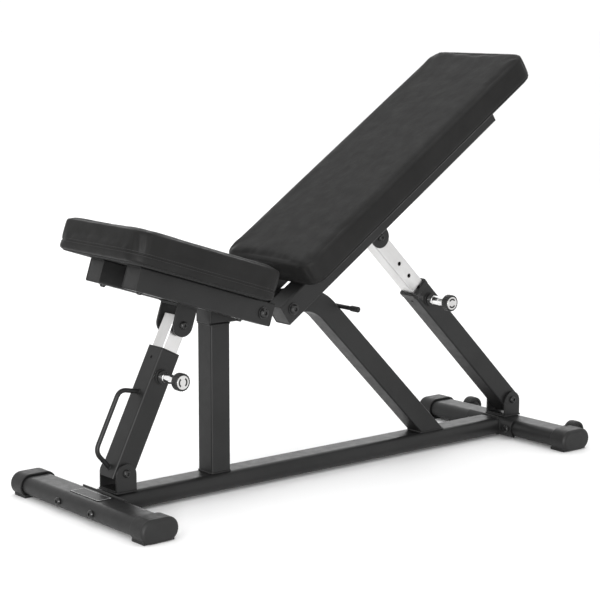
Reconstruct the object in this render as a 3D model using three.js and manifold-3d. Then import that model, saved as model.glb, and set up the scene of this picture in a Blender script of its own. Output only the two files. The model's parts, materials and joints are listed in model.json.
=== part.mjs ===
// Adjustable weight bench: a steel frame with a hinged seat and a hinged backrest, each held by a
// telescopic strut with a spring-loaded pull pin.
// Millimetres, +Z up. +X runs from the foot end to the head end, -Y is the side of the pull knobs.
import * as THREE from 'three';
import { mergeVertices } from 'three/addons/utils/BufferGeometryUtils.js';
import Module from 'manifold-3d';

const wasm = await Module();
wasm.setup();

// ---- Driving dimensions. X is measured from the middle of the front stabiliser. ----
const GAP = 0.3;                  // air between two pieces that touch
const OVAL_WIDTH = 80;            // flat-oval tube of the base and both stabilisers
const OVAL_HEIGHT = 40;
const SQUARE = 50;                // square tube of the post, beam, rails and outer struts
const WALL = 2.5;
const CORNER = 4;                 // outer corner radius of the square tube
const INNER_SQUARE = 40;          // square tube that slides in the struts

const REAR_X = 1194;              // middle of the rear stabiliser
const STABILISER_WIDTH = 502;     // over the end caps
const CAP_WIDTH = 90;
const CAP_HEIGHT = 50;
const CAP_LENGTH = 45;
const CAP_END_WALL = 5;
const OVAL_Z = CAP_HEIGHT / 2;    // middle of the flat-oval tubes
const OVAL_TOP = OVAL_Z + OVAL_HEIGHT / 2;
const STABILISER_BOLT_Y = 62;

const POST_X = 317;
const BEAM_Z = 396;               // middle of the level part of the main beam, height of both pivots
const BEAM_CORNER_X = 590;        // where the middle lines of the level and the sloping part meet
const BEAM_SLOPE = THREE.MathUtils.degToRad(45);
const BEAM_BEND_RADIUS = 105;
const STOP_ROD_X = 657;
const STOP_ROD_RADIUS = 5;
const STOP_ROD_LENGTH = 164;

const SEAT_PIVOT_X = 380;
const BACK_PIVOT_X = 462;
const SEAT_ANGLE = THREE.MathUtils.degToRad(18);
const BACK_ANGLE = THREE.MathUtils.degToRad(34);
const RAIL_Y = 67;                // middle of each padded rail
const RAIL_BEHIND_PIVOT = 26;
const SEAT_RAIL_REACH = 334;      // from the pivot to the far end of the rail
const BACK_RAIL_REACH = 712;
const BRACKET_DROP = 42;          // strut pivot below the underside of the rails
const SEAT_BRACKET_REACH = 152;   // from the rail pivot to the strut pivot, along the rail
const BACK_BRACKET_REACH = 321;
const BACK_UPPER_CROSS_REACH = 640;

const PAD_WIDTH = 300;
const PAD_CORNER = 34;
const PAD_LIFT = 1;               // underside of the pads above the rails
const SEAT_PAD = { near: 12, far: 394, thickness: 69 };
const BACK_PAD = { near: 46, far: 828, thickness: 62 };
const BOARD_THICKNESS = 12;
const BOARD_INSET = 9;

const EAR_OUTER_Y = 32;           // outer faces of every strut bracket
const EAR_THICKNESS = 5;
const EAR_RADIUS = 25;
const FRONT_STRUT_X = 67.5;       // lower strut pivots
const REAR_STRUT_X = 1201;
const STRUT_PIVOT_LIFT = 40;      // above the flat-oval tube
const FRONT_OUTER_LENGTH = 267;   // from the lower pivot to the mouth of the outer tube
const REAR_OUTER_LENGTH = 431;
const OUTER_TAIL = 20;            // outer tube below its pivot
const INNER_HEAD = 15;            // inner tube above its pivot
const FRONT_INNER_LENGTH = 262;   // inner tube below its pivot
const REAR_INNER_LENGTH = 440;
const FRONT_PIN_BELOW_MOUTH = 54;
const REAR_PIN_BELOW_MOUTH = 40.5;
const FRONT_HOLES = { first: 79, pitch: 37, count: 2 };   // measured from the upper pivot
const REAR_HOLES = { first: 95.9, pitch: 43, count: 8 };

const PIVOT_BOLT_RADIUS = 6;
const STRUT_BOLT_RADIUS = 5;
const STRUT_WALL = 2;             // wall of the telescopic tubes
const SADDLE_THICKNESS = 4;
const SADDLE_WIDTH = 154;
const PIN_RADIUS = 4;
const PIN_HOLE_STEPS = 8;
const BARREL_RADIUS = 10.5;
const BARREL_END_Y = 81.5;
const KNOB_RADIUS = 19;
const KNOB_LENGTH = 20;

const WHEEL_RADIUS = 23.5;
const WHEEL_WIDTH = 24;
const WHEEL_X = 1267;
const WHEEL_Y = 174;
const WHEEL_Z = 25;
const AXLE_RADIUS = 4;

// Curve steps: each arc of an outline gets twice this many chords.
const CORNER_STEPS = 1;
const OVAL_STEPS = 2;
const PAD_STEPS = 2;
const EAR_STEPS = 4;
const TURNED_STEPS = 12;          // facets round a small turned piece or hole
const WHEEL_STEPS = 20;

// ---- Materials ----
const finish = (color, roughness, metalness) =>
  new THREE.MeshStandardMaterial({ color, roughness, metalness });
const powderCoat = finish(0x2b2b2d, 0.5, 0.35);
const blackPlastic = finish(0x1c1c1d, 0.6, 0);
const rubber = finish(0x202021, 0.75, 0);
const vinyl = finish(0x262627, 0.55, 0);
const plywood = finish(0x8a6a45, 0.8, 0);
const satinSteel = finish(0xd6d6d4, 0.3, 0.9);
const chrome = finish(0xe2e2e2, 0.12, 1);
const blackBolt = finish(0x18181a, 0.35, 0.7);
const label = finish(0x1a1a1b, 0.4, 0.1);

// ---- Geometry helpers ----
function toSolid(geometry) {
  const bare = geometry.clone();
  bare.deleteAttribute('normal');
  bare.deleteAttribute('uv');
  const merged = mergeVertices(bare, 1e-4);
  return new wasm.Manifold(new wasm.Mesh({
    numProp: 3,
    vertProperties: Float32Array.from(merged.attributes.position.array),
    triVerts: Uint32Array.from(merged.index.array),
  }));
}

function toGeometry(solid) {
  const mesh = solid.getMesh();
  const geometry = new THREE.BufferGeometry();
  geometry.setAttribute('position', new THREE.BufferAttribute(mesh.vertProperties, 3));
  geometry.setIndex(new THREE.BufferAttribute(mesh.triVerts, 1));
  geometry.computeVertexNormals();
  return geometry;
}

const cut = (body, ...tools) =>
  toGeometry(tools.reduce((left, tool) => left.subtract(toSolid(tool)), toSolid(body)));

const join = (body, ...others) =>
  toGeometry(others.reduce((sum, other) => sum.add(toSolid(other)), toSolid(body)));

function roundedRectangle(width, height, radius) {
  const x = width / 2 - radius;
  const y = height / 2 - radius;
  const outline = new THREE.Shape();
  outline.absarc(x, -y, radius, -Math.PI / 2, 0);
  outline.absarc(x, y, radius, 0, Math.PI / 2);
  outline.absarc(-x, y, radius, Math.PI / 2, Math.PI);
  outline.absarc(-x, -y, radius, Math.PI, Math.PI * 1.5);
  return outline;
}

const stadium = (width, height) => roundedRectangle(width, height, height / 2);

function withHole(outline, hole) {
  outline.holes.push(hole);
  return outline;
}

// A straight bar of the given section, centred on its length, along Z, Y or X.
// The section's second axis stands up along +Z in barY and barX.
function barZ(section, length, curveSegments = CORNER_STEPS) {
  const settings = { depth: length, bevelEnabled: false, curveSegments };
  return new THREE.ExtrudeGeometry(section, settings).translate(0, 0, -length / 2);
}

const barY = (section, length, curveSegments) =>
  barZ(section, length, curveSegments).rotateX(Math.PI / 2);

const barX = (section, length, curveSegments) =>
  barY(section, length, curveSegments).rotateZ(Math.PI / 2);

const rodY = (radius, length, segments = TURNED_STEPS) =>
  new THREE.CylinderGeometry(radius, radius, length, segments);

const rodX = (radius, length, segments = TURNED_STEPS) =>
  rodY(radius, length, segments).rotateZ(Math.PI / 2);

const block = (x, y, z) => new THREE.BoxGeometry(x, y, z);

const squareTube = (size, wall = WALL) => withHole(
  roundedRectangle(size, size, CORNER),
  roundedRectangle(size - 2 * wall, size - 2 * wall, CORNER - wall / 2),
);

const ovalTube = () => withHole(
  stadium(OVAL_WIDTH, OVAL_HEIGHT),
  stadium(OVAL_WIDTH - 2 * WALL, OVAL_HEIGHT - 2 * WALL),
);

// A line through the given points with a round bend at each inner point. It is sampled at its
// two ends and along the bends only.
class BentPath extends THREE.Curve {
  constructor(points, radius, stepsPerBend) {
    super();
    this.stations = [this.station(points[0], points[0], points[1])];
    for (let i = 1; i < points.length - 1; i += 1) {
      this.addBend(points[i - 1], points[i], points[i + 1], radius, stepsPerBend);
    }
    const last = points.length - 1;
    this.stations.push(this.station(points[last], points[last - 1], points[last]));
    this.steps = this.stations.length - 1;
  }

  station(point, from, to) {
    return { point: point.clone(), tangent: to.clone().sub(from).normalize() };
  }

  addBend(before, corner, after, radius, steps) {
    const incoming = corner.clone().sub(before).normalize();
    const outgoing = after.clone().sub(corner).normalize();
    const turn = incoming.angleTo(outgoing);
    const start = corner.clone().addScaledVector(incoming, -radius * Math.tan(turn / 2));
    const inward = outgoing.clone().addScaledVector(incoming, -incoming.dot(outgoing)).normalize();
    for (let i = 0; i <= steps; i += 1) {
      const angle = (turn * i) / steps;
      const point = start.clone()
        .addScaledVector(incoming, radius * Math.sin(angle))
        .addScaledVector(inward, radius * (1 - Math.cos(angle)));
      const tangent = incoming.clone().multiplyScalar(Math.cos(angle))
        .addScaledVector(inward, Math.sin(angle));
      this.stations.push({ point, tangent });
    }
  }

  at(u) {
    return this.stations[Math.round(u * this.steps)];
  }

  getPointAt(u) {
    return this.at(u).point.clone();
  }

  getTangentAt(u) {
    return this.at(u).tangent.clone();
  }
}

const bentBar = (section, path, curveSegments = CORNER_STEPS) => new THREE.ExtrudeGeometry(section, {
  steps: path.steps,
  extrudePath: path,
  curveSegments,
});

// A body turned about the Y axis from a profile of [radius, y] points that starts and ends on it.
const turned = (profile, segments = TURNED_STEPS) =>
  new THREE.LatheGeometry(profile.map(([radius, y]) => new THREE.Vector2(radius, y)), segments);

// A socket-head bolt along Y: head at the -Y end, domed nut at the +Y end.
function throughBolt(radius, grip, washer = 0) {
  const half = grip / 2;
  const head = radius * 1.75;
  const headHeight = radius * 1.1;
  const rim = head + 3;
  const face = half + washer;
  const profile = [
    [0, -face - headHeight],
    [head * 0.62, -face - headHeight],
    [head, -face - headHeight * 0.45],
    [head, -face],
    ...(washer > 0 ? [[rim, -face], [rim, -half]] : []),
    [radius, -half],
    [radius, half],
    ...(washer > 0 ? [[rim, half], [rim, face]] : []),
    [head * 0.95, face],
    [head * 0.95, face + headHeight * 0.8],
    [head * 0.5, face + headHeight * 1.3],
    [0, face + headHeight * 1.3],
  ];
  const socketDepth = headHeight * 0.6;
  const socket = rodY(radius * 0.6, socketDepth * 2, 6).translate(0, -face - headHeight, 0);
  return cut(turned(profile), socket);
}

function add(parent, name, geometry, material, position = [0, 0, 0]) {
  const mesh = new THREE.Mesh(geometry, material);
  mesh.name = name;
  mesh.position.set(...position);
  parent.add(mesh);
  return mesh;
}

const sides = [['left', -1], ['right', 1]];

// ---- Base: stabilisers, base tube, caps and bolts ----
function stabiliserTube() {
  const length = STABILISER_WIDTH - 2 * (CAP_END_WALL + GAP);
  const holes = sides.map(([, side]) =>
    rodX(STRUT_BOLT_RADIUS + 0.8, OVAL_WIDTH * 1.5).translate(0, side * STABILISER_BOLT_Y, 0));
  return cut(barY(ovalTube(), length, OVAL_STEPS), ...holes);
}

// An end cap with its closed face towards -Y and a sole that reaches in under the tube.
function endCap() {
  const rim = 3;
  const face = new THREE.ExtrudeGeometry(stadium(CAP_WIDTH - 2 * rim, CAP_HEIGHT - 2 * rim), {
    depth: CAP_LENGTH - 2 * rim,
    bevelThickness: rim,
    bevelSize: rim,
    bevelSegments: 1,
    curveSegments: OVAL_STEPS,
  }).translate(0, 0, rim).rotateX(Math.PI / 2).translate(0, CAP_LENGTH, 0);
  const socket = barY(stadium(OVAL_WIDTH + 2 * GAP, OVAL_HEIGHT + 2 * GAP), CAP_LENGTH, OVAL_STEPS)
    .translate(0, CAP_END_WALL + CAP_LENGTH / 2, 0);
  const soleWidth = 46;
  const soleHeight = (CAP_HEIGHT - OVAL_HEIGHT) / 2 - GAP;
  const soleLength = CAP_LENGTH - CAP_END_WALL + 6;
  const sole = block(soleWidth, soleLength, soleHeight)
    .translate(0, CAP_END_WALL + soleLength / 2, (soleHeight - CAP_HEIGHT) / 2);
  return toGeometry(toSolid(face).subtract(toSolid(socket)).add(toSolid(sole)));
}

// The base tube with the curved saddle plate that is welded to each of its ends. The tube's bore
// runs out through the saddles.
function baseTube() {
  const inner = OVAL_HEIGHT + 2 * GAP;
  const outer = inner + 2 * SADDLE_THICKNESS;
  const centreDistance = OVAL_WIDTH - OVAL_HEIGHT;
  const bore = stadium(OVAL_WIDTH - 2 * WALL, OVAL_HEIGHT - 2 * WALL);
  const tube = barX(stadium(OVAL_WIDTH, OVAL_HEIGHT), REAR_X - centreDistance, OVAL_STEPS);
  let body = toSolid(tube.translate(REAR_X / 2, 0, 0));
  for (const [x, side] of [[0, 1], [REAR_X, -1]]) {
    const stabiliser = barY(stadium(centreDistance + inner, inner), SADDLE_WIDTH + 1, OVAL_STEPS)
      .translate(x, 0, 0);
    const shell = barY(stadium(centreDistance + outer, outer), SADDLE_WIDTH, OVAL_STEPS)
      .translate(x, 0, 0);
    const reach = block(outer, SADDLE_WIDTH, outer * 0.86)
      .translate(x + side * (centreDistance / 2 + outer * 0.67), 0, 0);
    const saddle = toSolid(shell).intersect(toSolid(reach));
    body = body.add(saddle).subtract(toSolid(stabiliser));
    for (const [, row] of sides) {
      const hole = rodX(STRUT_BOLT_RADIUS + 0.8, outer * 2)
        .translate(x + side * outer, row * STABILISER_BOLT_Y, 0);
      body = body.subtract(toSolid(hole));
    }
  }
  const passage = barX(bore, REAR_X, OVAL_STEPS).translate(REAR_X / 2, 0, 0);
  return toGeometry(body.subtract(toSolid(passage)));
}

function addBase(bench) {
  add(bench, 'base_tube', baseTube(), powderCoat, [0, 0, OVAL_Z]);
  const boltGrip = OVAL_WIDTH + SADDLE_THICKNESS + 3 * GAP;
  for (const [end, x, saddleSide] of [['front', 0, 1], ['rear', REAR_X, -1]]) {
    add(bench, `${end}_stabiliser_tube`, stabiliserTube(), powderCoat, [x, 0, OVAL_Z]);
    for (const [name, side] of sides) {
      const cap = add(bench, `${end}_${name}_end_cap`, endCap(), rubber,
        [x, side * STABILISER_WIDTH / 2, OVAL_Z]);
      cap.rotation.z = side > 0 ? Math.PI : 0;
      const boltX = x + (saddleSide * SADDLE_THICKNESS) / 2;
      const bolt = add(bench, `${end}_${name}_stabiliser_bolt`,
        throughBolt(STRUT_BOLT_RADIUS, boltGrip), blackBolt,
        [boltX, side * STABILISER_BOLT_Y, OVAL_Z]);
      bolt.rotation.z = -Math.PI / 2;
    }
  }
  const plate = { width: 36, length: 106, thickness: 0.8 };
  add(bench, 'blank_name_plate', block(plate.width, plate.length, plate.thickness), label,
    [0, 0, OVAL_TOP + GAP + plate.thickness / 2]);
}

// ---- Transport wheels behind the rear stabiliser ----
function wheel() {
  const half = WHEEL_WIDTH / 2;
  const bore = AXLE_RADIUS + 0.5;
  const hub = 9;
  const rimInner = WHEEL_RADIUS - 7;
  const profile = [
    [bore, -half], [hub, -half], [hub + 1, -half + 3], [rimInner - 1, -half + 3],
    [rimInner, -half], [WHEEL_RADIUS - 2, -half], [WHEEL_RADIUS, -half + 3],
    [WHEEL_RADIUS, half - 3], [WHEEL_RADIUS - 2, half], [rimInner, half],
    [rimInner - 1, half - 3], [hub + 1, half - 3], [hub, half], [bore, half], [bore, -half],
  ];
  return turned(profile, WHEEL_STEPS);
}

// A plate tab from the back of the rear stabiliser to the wheel's axle.
function wheelBracket(thickness) {
  const radius = 11;
  const front = REAR_X + OVAL_WIDTH / 2 - OVAL_HEIGHT / 2;
  const outline = new THREE.Shape();
  outline.moveTo(front, radius);
  outline.lineTo(front, -radius);
  outline.absarc(WHEEL_X, 0, radius, -Math.PI / 2, Math.PI / 2);
  const clearance = stadium(OVAL_WIDTH + 2 * GAP, OVAL_HEIGHT + 2 * GAP);
  const stabiliser = barY(clearance, 2 * thickness, OVAL_STEPS).translate(REAR_X, 0, 0);
  const hole = rodY(AXLE_RADIUS + 0.4, 2 * thickness).translate(WHEEL_X, 0, 0);
  return cut(barY(outline, thickness, EAR_STEPS), stabiliser, hole);
}

function addWheels(bench) {
  const plate = 4;
  const plateY = WHEEL_Y - WHEEL_WIDTH / 2 - 1.5 - plate / 2;
  const grip = WHEEL_WIDTH + plate + 2.6;
  for (const [name, side] of sides) {
    add(bench, `${name}_wheel_bracket`, wheelBracket(plate), powderCoat,
      [0, side * plateY, WHEEL_Z]);
    add(bench, `${name}_transport_wheel`, wheel(), rubber, [WHEEL_X, side * WHEEL_Y, WHEEL_Z]);
    const boltY = WHEEL_Y - (plate + 1.5) / 2;
    const bolt = add(bench, `${name}_wheel_axle_bolt`, throughBolt(AXLE_RADIUS, grip), blackBolt,
      [WHEEL_X, side * boltY, WHEEL_Z]);
    bolt.rotation.z = side > 0 ? Math.PI : 0;
  }
}

// ---- Upright post and bent main beam ----
function mainBeam() {
  const start = POST_X - SQUARE / 2;
  const foot = OVAL_TOP + GAP;
  const footX = BEAM_CORNER_X + (BEAM_Z - foot) / Math.tan(BEAM_SLOPE);
  const overshoot = SQUARE;
  const points = [
    new THREE.Vector3(start, 0, BEAM_Z),
    new THREE.Vector3(BEAM_CORNER_X, 0, BEAM_Z),
    new THREE.Vector3(
      footX + overshoot * Math.cos(BEAM_SLOPE),
      0,
      foot - overshoot * Math.sin(BEAM_SLOPE),
    ),
  ];
  const beam = bentBar(squareTube(SQUARE), new BentPath(points, BEAM_BEND_RADIUS, 6));
  const below = block(6 * SQUARE, 2 * SQUARE, 2 * SQUARE).translate(footX, 0, foot - SQUARE);
  let body = toSolid(beam).subtract(toSolid(below));
  const pivotTubeRadius = 13;
  const pivotTubeLength = 2 * (RAIL_Y - SQUARE / 2 - GAP);
  for (const x of [SEAT_PIVOT_X, BACK_PIVOT_X]) {
    const pivotTube = rodY(pivotTubeRadius, pivotTubeLength, 16).translate(x, 0, BEAM_Z);
    const bore = rodY(PIVOT_BOLT_RADIUS + 0.5, pivotTubeLength * 2).translate(x, 0, BEAM_Z);
    body = body.add(toSolid(pivotTube)).subtract(toSolid(bore));
  }
  return toGeometry(body);
}

function addFrame(bench) {
  const postBottom = OVAL_TOP + GAP;
  const postTop = BEAM_Z - SQUARE / 2 - GAP;
  add(bench, 'seat_post', barZ(squareTube(SQUARE), postTop - postBottom), powderCoat,
    [POST_X, 0, (postTop + postBottom) / 2]);
  add(bench, 'main_beam', mainBeam(), powderCoat);

  const bore = SQUARE - 2 * WALL - 2 * GAP;
  const plugHead = barX(roundedRectangle(SQUARE, SQUARE, CORNER), 3);
  const plugBody = barX(roundedRectangle(bore, bore, CORNER), 18).translate(9, 0, 0);
  add(bench, 'main_beam_end_plug', join(plugHead, plugBody), blackPlastic,
    [POST_X - SQUARE / 2 - 1.5 - GAP, 0, BEAM_Z]);

  const toMiddleLine = SQUARE / 2 + STOP_ROD_RADIUS + GAP;
  const level = (STOP_ROD_X - BEAM_CORNER_X) * Math.tan(BEAM_SLOPE);
  const rodZ = BEAM_Z - level + toMiddleLine / Math.cos(BEAM_SLOPE);
  add(bench, 'backrest_stop_rod', rodY(STOP_ROD_RADIUS, STOP_ROD_LENGTH), powderCoat,
    [STOP_ROD_X, 0, rodZ]);
}

// ---- U brackets of the struts ----
// The pivot is at the origin and the web is at z = -drop.
function strutBracket(drop, arcOffset) {
  const outline = new THREE.Shape();
  outline.moveTo(-EAR_RADIUS, -drop);
  outline.lineTo(EAR_RADIUS, -drop);
  outline.absarc(0, arcOffset, EAR_RADIUS, 0, Math.PI);
  const inside = 2 * (EAR_OUTER_Y - EAR_THICKNESS);
  const slotHeight = 2 * drop;
  const slot = block(3 * EAR_RADIUS, inside, slotHeight)
    .translate(0, 0, slotHeight / 2 - drop + EAR_THICKNESS);
  const hole = rodY(STRUT_BOLT_RADIUS + 0.5, 3 * EAR_OUTER_Y);
  return cut(barY(outline, 2 * EAR_OUTER_Y, EAR_STEPS), slot, hole);
}

function addBaseBrackets(bench) {
  const drop = STRUT_PIVOT_LIFT - GAP;
  for (const [name, x] of [['seat', FRONT_STRUT_X], ['backrest', REAR_STRUT_X]]) {
    add(bench, `${name}_strut_base_bracket`, strutBracket(drop, -5), powderCoat,
      [x, 0, OVAL_TOP + STRUT_PIVOT_LIFT]);
  }
}

// ---- Padded sections. Local X runs along the rails from the pivot, local Z is up. ----
function rail(reach) {
  const length = reach + RAIL_BEHIND_PIVOT;
  const middle = (reach - RAIL_BEHIND_PIVOT) / 2;
  const bore = SQUARE - 2 * WALL;
  const body = barX(roundedRectangle(SQUARE, SQUARE, CORNER), length).translate(middle, 0, 0);
  const hollow = block(length - 2 * WALL, bore, bore).translate(middle, 0, 0);
  const hole = rodY(PIVOT_BOLT_RADIUS + 0.6, SQUARE * 2);
  return cut(body, hollow, hole);
}

function crossTube() {
  const length = 2 * (RAIL_Y - SQUARE / 2 - GAP);
  return barY(squareTube(SQUARE), length);
}

function padOutline(pad, inset) {
  const length = pad.far - pad.near - 2 * inset;
  return roundedRectangle(length, PAD_WIDTH - 2 * inset, PAD_CORNER - inset);
}

function padBoard(pad) {
  return barZ(padOutline(pad, BOARD_INSET), BOARD_THICKNESS, PAD_STEPS);
}

// The pad's underside is at z = 0, and it wraps round the edge of its board.
function padCushion(pad) {
  const edge = 8;
  const cushion = new THREE.ExtrudeGeometry(padOutline(pad, edge), {
    depth: pad.thickness - 2 * edge,
    bevelThickness: edge,
    bevelSize: edge,
    bevelSegments: 2,
    curveSegments: PAD_STEPS,
  }).translate(0, 0, edge);
  const pocketDepth = BOARD_THICKNESS + 2 * GAP - PAD_LIFT;
  const pocket = barZ(padOutline(pad, BOARD_INSET - 0.5), 2 * pocketDepth, PAD_STEPS);
  return cut(cushion, pocket);
}

function addPaddedSection(parent, name, direction, pad, railReach, crossTubes, bracketReach) {
  const railTop = SQUARE / 2;
  for (const [sideName, side] of sides) {
    const bar = add(parent, `${name}_${sideName}_rail`, rail(railReach), powderCoat,
      [0, side * RAIL_Y, 0]);
    bar.rotation.z = direction < 0 ? Math.PI : 0;
  }
  for (const [tubeName, reach] of crossTubes) {
    add(parent, `${name}_${tubeName}`, crossTube(), powderCoat, [direction * reach, 0, 0]);
  }
  const bracket = add(parent, `${name}_strut_top_bracket`,
    strutBracket(BRACKET_DROP - GAP, 0), powderCoat,
    [direction * bracketReach, 0, -railTop - BRACKET_DROP]);
  bracket.rotation.x = Math.PI;
  const padMiddle = direction * (pad.near + pad.far) / 2;
  add(parent, `${name}_board`, padBoard(pad), plywood,
    [padMiddle, 0, railTop + GAP + BOARD_THICKNESS / 2]);
  add(parent, `${name}_pad`, padCushion(pad), vinyl, [padMiddle, 0, railTop + PAD_LIFT]);
}

const pivotBolt = () => throughBolt(PIVOT_BOLT_RADIUS, 2 * (RAIL_Y + SQUARE / 2 + GAP), 2);

const strutBolt = () => throughBolt(STRUT_BOLT_RADIUS, 2 * (EAR_OUTER_Y + GAP));

// One end of the strut's upper bolt. Its shank stops at the ear, clear of the inner tube.
function topBoltEnd(keep) {
  const half = 60;
  const clear = EAR_OUTER_Y - EAR_THICKNESS;
  const away = block(2 * half, 2 * half, 2 * half).translate(0, -keep * (half - clear), 0);
  return cut(strutBolt(), away);
}

function addSeat(bench) {
  const seat = new THREE.Group();
  seat.position.set(SEAT_PIVOT_X, 0, BEAM_Z);
  seat.rotation.y = SEAT_ANGLE;
  bench.add(seat);
  addPaddedSection(seat, 'seat', -1, SEAT_PAD, SEAT_RAIL_REACH,
    [['cross_tube', SEAT_BRACKET_REACH]], SEAT_BRACKET_REACH);
  add(seat, 'seat_pivot_bolt', pivotBolt(), blackBolt);
  add(seat, 'seat_strut_top_bolt', strutBolt(), blackBolt,
    [-SEAT_BRACKET_REACH, 0, -SQUARE / 2 - BRACKET_DROP]);
}

function addBackrest(bench) {
  const backrest = new THREE.Group();
  backrest.position.set(BACK_PIVOT_X, 0, BEAM_Z);
  backrest.rotation.y = -BACK_ANGLE;
  bench.add(backrest);
  addPaddedSection(backrest, 'backrest', 1, BACK_PAD, BACK_RAIL_REACH,
    [['lower_cross_tube', BACK_BRACKET_REACH], ['upper_cross_tube', BACK_UPPER_CROSS_REACH]],
    BACK_BRACKET_REACH);
  add(backrest, 'backrest_pivot_bolt', pivotBolt(), blackBolt);
  const strutPivot = [BACK_BRACKET_REACH, 0, -SQUARE / 2 - BRACKET_DROP];
  add(backrest, 'backrest_strut_top_bolt', topBoltEnd(-1), blackBolt, strutPivot);
  add(backrest, 'backrest_strut_top_nut', topBoltEnd(1), blackBolt, strutPivot);
}

// ---- Telescopic struts. Local Z runs up the strut from its lower pivot. ----
function outerTube(length, pinHeight) {
  const face = SQUARE / 2;
  const tube = barZ(squareTube(SQUARE, STRUT_WALL), length + OUTER_TAIL)
    .translate(0, 0, (length - OUTER_TAIL) / 2);
  const pivotHole = rodY(STRUT_BOLT_RADIUS + 0.5, SQUARE * 2);
  const bossHeight = 7.5;
  const boss = rodY(BARREL_RADIUS + 3.5, bossHeight + 1)
    .translate(0, -face - bossHeight / 2 + 0.5, pinHeight);
  const pinHole = rodY(BARREL_RADIUS + 2 * GAP, face)
    .translate(0, -face - face / 2 + STRUT_WALL + 1, pinHeight);
  const drainHole = rodX(3, 4 * STRUT_WALL, PIN_HOLE_STEPS).translate(-face, 0, length - 22);
  return toGeometry(toSolid(tube).add(toSolid(boss)).subtract(toSolid(pivotHole))
    .subtract(toSolid(pinHole)).subtract(toSolid(drainHole)));
}

function guideBush(length) {
  const depth = 30;
  const rim = 2.5;
  const outside = SQUARE - 2 * STRUT_WALL - 2 * GAP;
  const sleeve = barZ(roundedRectangle(outside, outside, 2.5), depth)
    .translate(0, 0, length - depth / 2 + GAP);
  const flange = barZ(roundedRectangle(SQUARE, SQUARE, CORNER), rim)
    .translate(0, 0, length + GAP + rim / 2);
  const bore = INNER_SQUARE + 2 * GAP;
  const passage = barZ(roundedRectangle(bore, bore, CORNER), 3 * depth).translate(0, 0, length);
  return toGeometry(toSolid(sleeve).add(toSolid(flange)).subtract(toSolid(passage)));
}

function innerTube(length, holes, boltHoleRadius) {
  const tube = barZ(squareTube(INNER_SQUARE, STRUT_WALL), length + INNER_HEAD)
    .translate(0, 0, (INNER_HEAD - length) / 2);
  const tools = [rodY(boltHoleRadius, INNER_SQUARE * 2)];
  for (let i = 0; i < holes.count; i += 1) {
    const height = -holes.first - i * holes.pitch;
    const pinHole = rodY(PIN_RADIUS + 1, INNER_SQUARE * 2, PIN_HOLE_STEPS);
    tools.push(pinHole.translate(0, 0, height));
  }
  return cut(tube, ...tools);
}

function grabHandle() {
  const reach = 45;
  const rodRadius = 5;
  const face = -SQUARE / 2 - GAP;
  const points = [
    new THREE.Vector3(face, 0, 168),
    new THREE.Vector3(face - reach, 0, 156),
    new THREE.Vector3(face - reach, 0, 18),
    new THREE.Vector3(face, 0, 0),
  ];
  const section = new THREE.Shape();
  section.absarc(0, 0, rodRadius, 0, Math.PI * 2);
  const bar = bentBar(section, new BentPath(points, 14, 4), 4);
  const tube = block(SQUARE, SQUARE, FRONT_OUTER_LENGTH).translate(face + SQUARE / 2, 0, 84);
  return cut(bar, tube);
}

// The pull pin lies along -Y from the strut's middle line.
const PIN_TIP_Y = INNER_SQUARE / 2 + 0.4;
const PIN_COLLAR_Y = 42;
const BARREL_WALL = 3.5;
const SPRING_END_Y = BARREL_END_Y - BARREL_WALL - GAP;

function pinBarrel() {
  const start = SQUARE / 2 - 2;
  const bore = PIN_RADIUS + 1.8;
  const lip = BARREL_END_Y - BARREL_WALL;
  const neck = PIN_RADIUS + GAP;
  const profile = [
    [neck, -BARREL_END_Y], [BARREL_RADIUS - 1, -BARREL_END_Y], [BARREL_RADIUS, -BARREL_END_Y + 1],
    [BARREL_RADIUS, -start], [bore, -start], [bore, -lip], [neck, -lip], [neck, -BARREL_END_Y],
  ];
  return turned(profile, 16);
}

function lockPin() {
  const collar = PIN_RADIUS + 1.4;
  const profile = [
    [0, -BARREL_END_Y - 10], [PIN_RADIUS, -BARREL_END_Y - 10], [PIN_RADIUS, -PIN_COLLAR_Y],
    [collar, -PIN_COLLAR_Y], [collar, -PIN_COLLAR_Y + 3], [PIN_RADIUS, -PIN_COLLAR_Y + 3],
    [PIN_RADIUS, -PIN_TIP_Y - 1], [PIN_RADIUS - 1, -PIN_TIP_Y], [0, -PIN_TIP_Y],
  ];
  return turned(profile);
}

function pullKnob() {
  const start = BARREL_END_Y + GAP;
  const end = start + KNOB_LENGTH;
  const socketEnd = BARREL_END_Y + 10 + GAP;
  const profile = [
    [0, -end], [KNOB_RADIUS - 2, -end], [KNOB_RADIUS, -end + 2], [KNOB_RADIUS, -start - 4],
    [KNOB_RADIUS - 4, -start], [PIN_RADIUS + GAP, -start], [PIN_RADIUS + GAP, -socketEnd],
    [0, -socketEnd],
  ];
  return turned(profile, 16);
}

class Helix extends THREE.Curve {
  constructor(radius, turns, length) {
    super();
    Object.assign(this, { radius, turns, length });
  }

  getPoint(t, target = new THREE.Vector3()) {
    const angle = t * this.turns * 2 * Math.PI;
    return target.set(
      this.radius * Math.cos(angle),
      -t * this.length,
      this.radius * Math.sin(angle),
    );
  }
}

function pinSpring() {
  const wire = 0.6;
  const start = PIN_COLLAR_Y + GAP + wire;
  const turns = 6;
  const stepsPerTurn = 8;
  const section = new THREE.Shape();
  section.absarc(0, 0, wire, 0, Math.PI * 2);
  const path = new Helix(PIN_RADIUS + 0.95, turns, SPRING_END_Y - wire - start);
  return new THREE.ExtrudeGeometry(section, {
    steps: turns * stepsPerTurn,
    extrudePath: path,
    curveSegments: 2,
  }).translate(0, -start, 0);
}

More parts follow.
